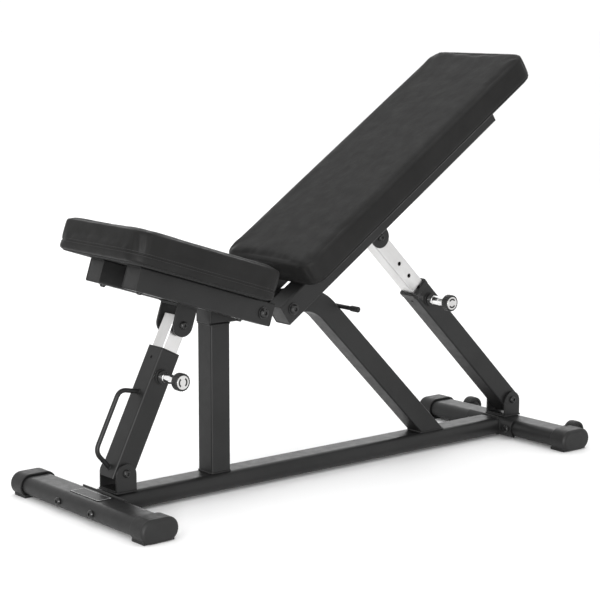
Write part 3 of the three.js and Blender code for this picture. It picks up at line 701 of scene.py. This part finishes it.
def beam():
    low, high = extent("main_beam")
    size = high.z - joints["seat_tilt"]["pos_m"][2]
    axis_z = high.z - size
    square = 2 * size
    foot_x = high.x - size / math.sin(BEAM_SLOPE)
    corner_x = foot_x - (axis_z - low.z) / math.tan(BEAM_SLOPE)
    outline = rectangle(square, square, TUBE_CORNER)
    downhill = Vector((math.cos(BEAM_SLOPE), 0, -math.sin(BEAM_SLOPE)))
    end = Vector((foot_x, 0, low.z)) + downhill * square
    path = fillet([(low.x, 0, axis_z), (corner_x, 0, axis_z), end],
                  BEAM_BEND_RADIUS * math.tan(BEAM_SLOPE / 2), steps=14)
    vertices, faces = sweep(outline, path)
    count = len(outline(0))
    for index in range(len(vertices) - count, len(vertices)):
        vertex = vertices[index]
        vertices[index] = vertex + downhill * ((low.z - vertex.z) / downhill.z)
    foot = vertices[-count:]
    bodies = [(vertices, faces), weld([*foot, foot[0]])]
    round_tube = circle(PIVOT_TUBE_RADIUS)
    for name in ("seat_tilt", "backrest_raise"):
        sleeve = bar(round_tube, -high.y, high.y)
        rings = [weld(ring_path(round_tube, side * size), 2 * MM) for _name, side in SIDES]
        bodies.append(moved(merged(sleeve, *rings), at(joints[name]["pos_m"]) @ ALONG_Y))
    make_piece("beam", merged(*bodies), PLAIN, "base_frame", "powder_coat", ["main_beam"])


def beam_plug():
    low, high = extent("main_beam_end_plug")
    size = high.z - low.z
    corners = [(2.4 * MM, 2 * MM), (0, 3 * MM), (0, 1 * MM), (1.6 * MM, 0), (size * 0.4, -0.6 * MM)]
    head = stack(rectangle(size, size, TUBE_CORNER), fillet(corners, 0.8 * MM))
    inner = bar(rectangle(size - 6 * MM, size - 6 * MM, 2 * MM), 2 * MM, high.x - low.x)
    place = at((low.x, 0, (low.z + high.z) / 2)) @ ALONG_X
    make_piece("beam_plug", merged(head, inner), place, "base_frame", "black_plastic", ["main_beam_end_plug"])


def stop_rod():
    low, high = extent("backrest_stop_rod")
    radius, half = (high.z - low.z) / 2, (high.y - low.y) / 2
    rod = bar(circle(radius), -half, half, edge=1 * MM)
    grip, inboard = 22 * MM, 2 * MM
    sleeves = [tube(circle(radius + 1.6 * MM), 1.5 * MM, start, start + grip)
               for start in (inboard - half, half - grip - inboard)]
    place = at(middle("backrest_stop_rod")) @ ALONG_Y
    make_piece("stop_rod", rod, place, "base_frame", "powder_coat", ["backrest_stop_rod"])
    make_piece("stop_rod_sleeves", merged(*sleeves), place, "base_frame", "rubber")


# ---- U brackets: pivot at the origin, web at z = -drop ----
def bracket(name, node, place, rides_on, arc_drop=0.0, upside_down=False):
    turn = UPSIDE_DOWN if upside_down else PLAIN
    low, high = extent(node, place @ turn)
    drop, outer = -low.z, high.y

    def ear_outline(inset=0.0):
        size = EAR_RADIUS - inset
        foot = -drop + PLATE / 2 + inset
        return [(x, y - arc_drop) for x, y in arc(size, 0, math.pi, 24)] + [(-size, foot), (size, foot)]

    bodies = []
    for _name, side in SIDES:
        ear = bar(ear_outline, 0, PLATE, edge=0.8 * MM)
        shift = at((0, side * outer + (PLATE if side == LEFT else 0), 0))
        bodies.append(moved(ear, shift @ ALONG_Y))
    web = bar(rectangle(2 * outer, PLATE, PLATE * 0.49), -EAR_RADIUS, EAR_RADIUS, edge=0.8 * MM)
    bodies.append(moved(web, at((0, 0, -drop + PLATE / 2)) @ ALONG_X))
    foot_outline = rectangle(2 * EAR_RADIUS + 2 * MM, 2 * outer + 2 * MM, 3 * MM)
    bodies.append(weld(ring_path(foot_outline, -drop + 0.8 * MM), 2 * MM))
    make_piece(name, merged(*bodies), place @ turn, rides_on, "powder_coat", [node])


# ---- Seat and backrest frames ----
def rails(name, place):
    for side_name, _side in SIDES:
        node = f"{name}_{side_name}_rail"
        low, high = extent(node, place)
        size = high.z - low.z
        outline = rectangle(size, size, TUBE_CORNER)
        body = tube(outline, TUBE_WALL, low.x, high.x)
        inside, face = TUBE_WALL + 0.1 * MM, 0.4 * MM
        plug_profile = [(size * 0.4, face), (inside + 1.5 * MM, face), (inside, 0.8 * MM), (inside, 9.8 * MM)]
        plugs = [stack(outline, [(inset, end + facing * z) for inset, z in plug_profile])
                 for end, facing in ((low.x, 1), (high.x, -1))]
        centre = (low + high) / 2
        centre.x = 0
        rail_place = place @ at(centre) @ ALONG_X
        make_piece(f"{name}_{side_name}_rail_tube", body, rail_place, name, "powder_coat", [node])
        make_piece(f"{name}_{side_name}_rail_plugs", merged(*plugs), rail_place, name, "black_plastic")


def cross_tube(name, node, place):
    low, high = extent(node, place)
    size = high.x - low.x
    outline = rectangle(size, size, TUBE_CORNER)
    body = tube(outline, TUBE_WALL, -high.y, high.y)
    beads = [weld(ring_path(outline, side * (high.y - 0.8 * MM)), 2 * MM) for _name, side in SIDES]
    tube_place = place @ at((low + high) / 2) @ ALONG_Y
    make_piece(f"{node}_welded", merged(body, *beads), tube_place, name, "powder_coat", [node])


def board(name, place):
    """The lined board under a pad, with the staples that hold its lining. None is over the beam."""
    node = f"{name}_board"
    low, high = extent(node, place)
    size = high - low
    board_place = place @ under_middle(low, high)
    panel = bar(rectangle(size.x, size.y, PAD_CORNER - 9 * MM, steps=8), 0, size.z)
    make_piece(f"{name}_lined_board", panel, board_place, name, "lining", [node])
    inboard, pitch, half_staple = 30 * MM, 34 * MM, 5 * MM
    staple_outline = rectangle(size.x - 2 * inboard, size.y - 2 * inboard, 12 * MM)
    staple_line = resampled(ring_path(staple_outline), pitch)
    over_beam = extent("seat_post")[1].y + half_staple + 1 * MM
    staples = []
    for here, there in zip(staple_line, staple_line[1:]):
        if abs(here.y) < over_beam:
            continue
        along = (there - here).normalized() * half_staple
        staples.append(sweep(circle(0.45 * MM, 8), [here - along, here + along]))
    make_piece(f"{name}_staples", merged(*staples), board_place, name, "black_bolt")


def board_screws(name, place, count):
    """Screws through the rails into the board, with their heads under the rails."""
    thickness, from_end = 1.2 * MM, 28 * MM
    head = moved(button_head(6 * MM, 4 * MM, 2.6 * MM), at((0, 0, thickness)))
    screw = merged(washer(8 * MM, thickness), head)
    pad_low, pad_high = extent(f"{name}_pad", place)
    heads = []
    for side_name, _side in SIDES:
        low, high = extent(f"{name}_{side_name}_rail", place)
        start, end = max(low.x, pad_low.x) + from_end, min(high.x, pad_high.x) - from_end
        for index in range(count):
            x = start + (end - start) * index / (count - 1)
            heads.append(moved(screw, at((x, (low.y + high.y) / 2, low.z)) @ UPSIDE_DOWN))
    make_piece(f"{name}_board_screws", merged(*heads), place, name, "black_bolt")


# ---- Cushions ----
def pad_shape(length, width, thickness):
    """The sewn cover before it is filled: slightly low, with a rounded top edge."""
    top, bottom, deep, full = thickness - 2 * MM, 0.6 * MM, 60 * MM, -0.6 * MM
    corners = [(deep, bottom), (1 * MM, bottom), (full, 9 * MM), (full, top * 0.6), (0, top), (deep, top)]
    profile = fillet(corners, PAD_EDGE, steps=6)
    return stack(rectangle(length, width, PAD_CORNER, steps=12), profile)


def remeshed(body):
    draft = new_object("pad_draft", new_mesh("pad_shape", body))
    remesh = draft.modifiers.new("voxels", "REMESH")
    remesh.mode, remesh.voxel_size = "VOXEL", CUSHION_VOXEL
    return draft


def take_mesh(piece):
    """The piece's mesh as its modifiers leave it now."""
    graph = bpy.context.evaluated_depsgraph_get()
    return bpy.data.meshes.new_from_object(piece.evaluated_get(graph))


def filled(draft, pinned_below):
    """Blows the cover up with cloth pressure. A point moves along its normal, out by up to PAD_RISE."""
    rest = take_mesh(draft)
    draft.modifiers.clear()
    draft.data = rest
    start = np.array([vertex.co for vertex in rest.vertices])
    pins = draft.vertex_groups.new(name="pins")
    pins.add([index for index, point in enumerate(start) if point[2] < pinned_below], 1.0, "REPLACE")
    cloth = draft.modifiers.new("cloth", "CLOTH")
    vinyl_cloth = {"quality": 5, "mass": 0.25, "tension_stiffness": 14, "compression_stiffness": 14,
                   "shear_stiffness": 8, "bending_stiffness": 4, "use_pressure": True,
                   "uniform_pressure_force": 4, "vertex_group_mass": "pins"}
    for setting, value in vinyl_cloth.items():
        setattr(cloth.settings, setting, value)
    cloth.settings.effector_weights.gravity = 0
    cloth.collision_settings.use_collision = False
    cloth.point_cache.frame_end = CLOTH_FRAMES
    scene = bpy.context.scene
    for step in range(1, CLOTH_FRAMES + 1):
        scene.frame_set(step)
    settled = take_mesh(draft)
    end = np.array([vertex.co for vertex in settled.vertices])
    draft.modifiers.clear()
    scene.frame_set(1)
    normals = np.array([vertex.normal for vertex in rest.vertices])
    rise = np.sum((end - start) * normals, axis=1, keepdims=True)
    limited = np.where(rise > 0, PAD_RISE * np.tanh(rise / PAD_RISE), np.maximum(rise, -DRAW_IN))
    swollen = start + normals * limited
    rest.vertices.foreach_set("co", swollen.astype(np.float32).ravel())
    rest.update()


def sewn(points, length, width, thickness, seam):
    """Draws the sides in along the seam, gathers the corners and adds faint wrinkles."""
    half_length, half_width = length / 2 - PAD_CORNER, width / 2 - PAD_CORNER
    reach = 8 * MM
    result = []
    for point in points:
        x, y, z = point
        core = Vector((max(-half_length, min(half_length, x)), max(-half_width, min(half_width, y)), 0))
        outward = Vector((x, y, 0)) - core
        depth = outward.length
        side = max(0.0, min(1.0, (depth - PAD_CORNER * 0.7) / (PAD_CORNER * 0.2)))
        away = z - seam
        if abs(away) < reach and side > 0:
            z = seam + math.copysign(reach * (abs(away) / reach) ** 1.6, away)
        if depth > 1e-6 and side > 0:
            outward /= depth
            push = 0.0
            for pull, spread in ((1.5 * MM, 1.3 * MM), (0.9 * MM, 6 * MM)):
                push -= pull * math.exp(-((z - seam) / spread) ** 2)
            angle = math.atan2(abs(outward.y), abs(outward.x))
            corner = math.sin(2 * angle) ** 2
            upright = math.exp(-((z / thickness - 0.62) / 0.3) ** 2)
            push += 0.75 * MM * corner * upright * math.cos(14 * angle + 9 * noise.noise(point * 12))
            push += 0.35 * MM * noise.noise(Vector((x * 30, y * 30, z * 14)))
            x, y = x + outward.x * push * side, y + outward.y * push * side
        result.append((x, y, z))
    return result


def stitch_rows(surface, length, width, heights):
    """Short thread stitches laid on the cushion's sides at the given heights."""
    pitch, stitch, away, lift = 5.5 * MM, 3.6 * MM, 20 * MM, 0.15 * MM
    around = rectangle(length + 2 * away, width + 2 * away, PAD_CORNER + away, 10)
    path = resampled(ring_path(around), pitch)
    bodies = []
    for height in heights:
        for here, there in zip(path, path[1:]):
            along = (there - here).normalized()
            inward = Vector((0, 0, 1)).cross(along)
            ends = []
            for share in (-0.5, 0.0, 0.5):
                origin = here + along * stitch * share + Vector((0, 0, height))
                hit = surface.ray_cast(origin, inward, 3 * away)[0]
                if hit is None:
                    break
                ends.append(hit - inward * (lift if share == 0.0 else -lift))
            if len(ends) == 3:
                bodies.append(sweep(circle(0.42 * MM, 6), ends))
    return merged(*bodies)


def cushion(name, place, seam, stitches=()):
    node = f"{name}_pad"
    low, high = extent(node, place)
    size = high - low
    draft = remeshed(pad_shape(*size))
    filled(draft, pinned_below=8 * MM)
    smooth = draft.modifiers.new("fine", "SUBSURF")
    smooth.levels = smooth.render_levels = 1
    fine = take_mesh(draft)
    points = sewn([vertex.co.copy() for vertex in fine.vertices], *size, seam)
    faces = [tuple(polygon.vertices) for polygon in fine.polygons]
    bpy.data.objects.remove(draft)
    pad_place = place @ under_middle(low, high)
    piece = make_piece(f"{name}_cushion", (points, faces), pad_place, name, "vinyl", [node], SOFT_EDGE)
    piece.modifiers.clear()
    if stitches:
        surface = BVHTree.FromPolygons(points, faces)
        rows = stitch_rows(surface, size.x, size.y, stitches)
        make_piece(f"{name}_stitches", rows, pad_place, name, "thread", sharp=SOFT_EDGE)


# ---- Struts. Local Z runs up the strut from its lower pivot. ----
def strut_outer(name, place, rides_on):
    node = f"{name}_strut_outer_tube"
    low, high = extent(node, place)
    size = high.x - low.x
    outline = rectangle(size, size, TUBE_CORNER)
    body = tube(outline, STRUT_WALL, low.z, high.z)
    piece = make_piece(f"{name}_strut_outer", body, place, rides_on, "powder_coat", [node])
    depth, below_mouth = 10 * MM, 22 * MM
    drill(piece, 3.2 * MM, [(-(size + depth) / 2, 0, high.z - below_mouth)], (1, 0, 0), depth)

    barrel_low, barrel_high = extent(f"{name}_strut_pin_barrel", place)
    boss_radius = (barrel_high.x - barrel_low.x) / 2 + 3.5 * MM
    boss = bar(circle(boss_radius), 0, -low.y - size / 2)
    bead = weld(ring_path(circle(boss_radius + 0.7 * MM), 0.5 * MM), 2.2 * MM)
    boss_place = at((0, -size / 2, middle(f"{name}_strut_lock_pin", place).z)) @ ALONG_Y
    boss_body = moved(merged(boss, bead), boss_place)
    make_piece(f"{name}_strut_pin_boss", boss_body, place, rides_on, "powder_coat")

    bush = f"{name}_strut_guide_bush"
    bush_low, bush_high = extent(bush, place)
    inner_low, inner_high = extent(f"{name}_strut_inner_tube", place)
    clearance = (size - (inner_high.x - inner_low.x)) / 2 - 0.3 * MM
    bodies = [tube(outline, clearance, high.z + 0.1 * MM, bush_high.z, edge=0.8 * MM)]
    if name == "backrest":
        proud, skirt = 1.8 * MM, 8 * MM
        collar = rectangle(size + 2 * proud, size + 2 * proud, TUBE_CORNER + 2 * proud)
        bodies.append(tube(collar, proud - 0.15 * MM, high.z - skirt, bush_high.z, edge=1.4 * MM))
    inside = size - 2 * STRUT_WALL - 0.5 * MM
    sleeve = tube(rectangle(inside, inside, 2 * MM), clearance - STRUT_WALL - 0.3 * MM,
                  bush_low.z, high.z + 0.4 * MM, edge=0.2 * MM)
    make_piece(f"{name}_strut_bush", merged(*bodies, sleeve), place, rides_on, "black_plastic", [bush])


def strut_inner(name, place, rides_on):
    node = f"{name}_strut_inner_tube"
    low, high = extent(node, place)
    size = high.x - low.x
    body = tube(rectangle(size, size, 3.4 * MM), STRUT_WALL, low.z, high.z)
    piece = make_piece(f"{name}_strut_inner", body, place, rides_on, "satin_steel", [node])
    pivot_z = high.z - 15 * MM
    starts = [(0, -size, pivot_z - PIN_HOLE_FIRST[name] - index * PIN_HOLE_PITCH[name])
              for index in range(PIN_HOLE_COUNT[name])]
    drill(piece, PIN_HOLE_RADIUS, starts, (0, 1, 0), 2 * size)


def ribbed(radius, ribs, rib_depth):
    """A ribbed circle as a function of its inset."""
    steps = ribs * 6

    def outline(inset=0.0):
        points = []
        for step in range(steps):
            angle = 2 * math.pi * step / steps
            wave = 0.5 + 0.5 * math.cos(ribs * angle)
            size = max(radius - inset - rib_depth * (1 - wave ** 0.6), 0.02 * MM)
            points.append((size * math.cos(angle), size * math.sin(angle)))
        return points
    return outline


def pull_pin(name, place, outer_body, pin_body):
    """Chrome barrel, ribbed knob and its metal disc. Local Z runs outwards from the strut."""
    barrel, knob = f"{name}_strut_pin_barrel", f"{name}_strut_pull_knob"
    height = middle(knob, place).z
    axis = place @ at((0, 0, height)) @ ALONG_Y
    low, high = extent(barrel, axis)
    radius = high.x
    face = -extent(f"{name}_strut_outer_tube", place)[0].y
    neck, tip = radius - 1 * MM, radius - 2 * MM
    corners = [(tip, low.z), (radius, low.z), (radius, face + 9 * MM), (neck, face + 10 * MM),
               (neck, face + 12 * MM), (radius, face + 13 * MM), (radius, face + 30 * MM),
               (tip, high.z - 5 * MM), (tip, high.z), (radius - 3.5 * MM, high.z)]
    make_piece(f"{name}_pin_housing", lathe(fillet(corners, 0.6 * MM)), axis, outer_body, "chrome", [barrel])

    knob_low, knob_high = extent(knob, axis)
    knob_radius, base, top = knob_high.x, knob_low.z, knob_high.z
    recess = top - 1 * MM
    corners = [(knob_radius - 5 * MM, base), (3.5 * MM, base), (0, base + 4 * MM), (0, top - 1.6 * MM),
               (1.8 * MM, top), (3.4 * MM, top), (3.8 * MM, recess), (knob_radius - 1 * MM, recess)]
    grip = stack(ribbed(knob_radius, 22, 0.9 * MM), fillet(corners, 0.7 * MM))
    make_piece(f"{name}_knob", grip, axis, pin_body, "black_plastic", [knob])
    disc_radius, disc_top, bevel = knob_radius - 4.2 * MM, top - 0.3 * MM, 0.3 * MM
    disc = lathe([(disc_radius, top - 1.4 * MM), (disc_radius, disc_top - bevel),
                  (disc_radius - bevel, disc_top), (0.01 * MM, disc_top)])
    make_piece(f"{name}_knob_disc", disc, axis, pin_body, "satin_steel")
    upright = axis.to_3x3().inverted() @ Vector((0, 0, 1))
    first = math.atan2(upright.y, upright.x) + KNOB_MARK_TURN[name]
    half_arc = 0.3 * math.pi
    marks = []
    for centre in (first, first + math.pi):
        strip = arc_strip(disc_radius * 0.5, disc_radius * 0.76, centre - half_arc, centre + half_arc)
        marks.append(bar(strip, disc_top - 0.4 * MM, disc_top + 0.12 * MM, edge=0.04 * MM))
    make_piece(f"{name}_knob_mark", merged(*marks), axis, pin_body, "black_plastic")


def grab_handle():
    node = "seat_strut_grab_handle"
    low, high = extent(node, SEAT_STRUT)
    radius = high.y
    reach_x, face = low.x + radius, high.x
    top, bottom = high.z - radius, low.z + radius
    drop, rise = 12 * MM, 18 * MM
    corners = [(face, 0, top), (reach_x, 0, top - drop), (reach_x, 0, bottom + rise), (face, 0, bottom)]
    rod = sweep(circle(radius, 20), fillet(corners, 17 * MM, steps=10))
    bead = weld(ring_path(circle(radius + 0.6 * MM)), 1.6 * MM)
    beads = [moved(bead, at((face + 0.2 * MM, 0, z)) @ ALONG_X) for z in (top, bottom)]
    make_piece("grab_handle", merged(rod, *beads), SEAT_STRUT, "seat_strut_outer", "powder_coat", [node])


# ---- Which piece goes where ----
def coat_kept_nodes():
    """CAD nodes that are shown as they are get the fine materials."""
    kept = {"backrest_strut_end_plug": "black_plastic"}
    for strut in ("seat", "backrest"):
        kept |= {f"{strut}_strut_lock_pin": "satin_steel", f"{strut}_strut_pin_spring": "satin_steel"}
    for node, material in kept.items():
        frame["nodes"][node].data.materials[0] = MATERIALS[material]


def pivot_bolts():
    hinge = {"head": HINGE_HEAD, "washers": 2 * MM}
    long_bolt("seat_hinge_bolt", "seat_pivot_bolt", SEAT @ ALONG_Y, "seat", **hinge)
    long_bolt("backrest_hinge_bolt", "backrest_pivot_bolt", BACKREST @ ALONG_Y, "backrest_pivot", **hinge)
    seat_top = middle("seat_strut_top_bolt", SEAT)
    back_top = middle("backrest_strut_top_bracket", BACKREST)
    back_top.z = middle("backrest_strut_top_bolt", BACKREST).z
    seat_top.y = back_top.y = 0
    seat_place, back_place = SEAT @ at(seat_top) @ ALONG_Y, BACKREST @ at(back_top) @ ALONG_Y
    long_bolt("seat_strut_upper_bolt", "seat_strut_top_bolt", seat_place, "seat", STRUT_HEAD)
    for end, keep in (("bolt", "head"), ("nut", "nut")):
        long_bolt(f"backrest_strut_upper_{end}", f"backrest_strut_top_{end}", back_place, "backrest",
                  STRUT_HEAD, keep=keep)
    for name, place in (("seat", SEAT_STRUT), ("backrest", BACKREST_STRUT)):
        long_bolt(f"{name}_strut_lower_bolt", f"{name}_strut_base_bolt", place @ ALONG_Y,
                  f"{name}_strut_outer", STRUT_HEAD)


def build_base():
    for end in ("front", "rear"):
        stabiliser(end)
        for name, side in SIDES:
            end_cap(end, name, side)
    base_tube()
    stabiliser_bolts()
    name_plate()
    wheels()
    post()
    beam()
    beam_plug()
    stop_rod()
    for name in ("seat", "backrest"):
        pivot = at(joints[f"{name}_strut_swing"]["pos_m"])
        bracket(f"{name}_base_bracket", f"{name}_strut_base_bracket", pivot, "base_frame",
                arc_drop=BASE_BRACKET_ARC_DROP)


def build_padded_sections():
    for name, place, tubes, screws in (
            ("seat", SEAT, ["seat_cross_tube"], 2),
            ("backrest", BACKREST, ["backrest_lower_cross_tube", "backrest_upper_cross_tube"], 4)):
        rails(name, place)
        for node in tubes:
            cross_tube(name, node, place)
        board(name, place)
        board_screws(name, place, screws)
        node = f"{name}_strut_top_bracket"
        low, high = extent(node, place)
        pivot = place @ under_middle(low, high) @ at((0, 0, EAR_RADIUS))
        bracket(f"{name}_top_bracket", node, pivot, name, upside_down=True)
    cushion("seat", SEAT, SEAT_SEAM, stitches=(SEAT_SEAM - STITCH_ROW, SEAT_SEAM + STITCH_ROW))
    cushion("backrest", BACKREST, BACK_SEAM)


def build_struts():
    for name, place in (("seat", SEAT_STRUT), ("backrest", BACKREST_STRUT)):
        outer_body = f"{name}_strut_outer"
        strut_outer(name, place, outer_body)
        strut_inner(name, place, f"{name}_strut_inner")
        pull_pin(name, place, outer_body, f"{name}_pull_pin")
    grab_handle()


# ---- Stage ----
def add_floor():
    """A disc so wide that its edge isn't seen."""
    points = [(x, y, 0) for x, y in circle(60.0, 96)(0)]
    mesh = new_mesh("floor", (points, [tuple(range(len(points)))]))
    mesh.materials.append(MATERIALS["floor_paint"])
    new_object("floor", mesh)


def add_light(name, position, aim_height, width, height, power):
    """A rectangular lamp that points at the bench's middle line."""
    light = bpy.data.lights.new(name, "AREA")
    light.shape, light.size, light.size_y, light.energy = "RECTANGLE", width, height, power
    holder = new_object(name, light)
    holder.location = position
    aim = Vector((0, 0, aim_height)) - Vector(position)
    holder.rotation_euler = aim.to_track_quat("-Z", "Y").to_euler()


def add_world():
    world = bpy.data.worlds.new("studio")
    world.use_nodes = True
    background = world.node_tree.nodes["Background"]
    background.inputs["Color"].default_value = (1, 1, 1, 1)
    background.inputs["Strength"].default_value = 1.06
    bpy.context.scene.world = world


def add_camera():
    """A long lens, low and in front of the foot end's left corner. Heading is from +Y towards +X."""
    position, heading, pitch = Vector((-2.6146, -3.1097, 1.0510)), 0.680, -0.162
    level = math.cos(pitch)
    forward = Vector((math.sin(heading) * level, math.cos(heading) * level, math.sin(pitch)))
    data = bpy.data.cameras.new("camera")
    data.sensor_width, data.lens, data.shift_x = 36, 110.4, 0.0194
    camera = new_object("camera", data)
    camera.location = position
    camera.rotation_euler = forward.to_track_quat("-Z", "Y").to_euler()
    bpy.context.scene.camera = camera


add_camera()
add_world()
add_floor()
add_light("overhead", (0.3, 0.6, 3.4), aim_height=0.3, width=3.0, height=2.2, power=26)
add_light("key", (-3.6, -1.6, 2.2), aim_height=0.4, width=1.6, height=1.6, power=24)
add_light("strip", (-2.95, -3.5, 0.62), aim_height=0.4, width=0.5, height=1.1, power=150)
add_light("back", (3.4, 4.2, 1.9), aim_height=0.2, width=5.0, height=1.4, power=36)
bpy.context.scene.view_settings.view_transform = "Standard"

build_base()
build_padded_sections()
build_struts()
pivot_bolts()
coat_kept_nodes()
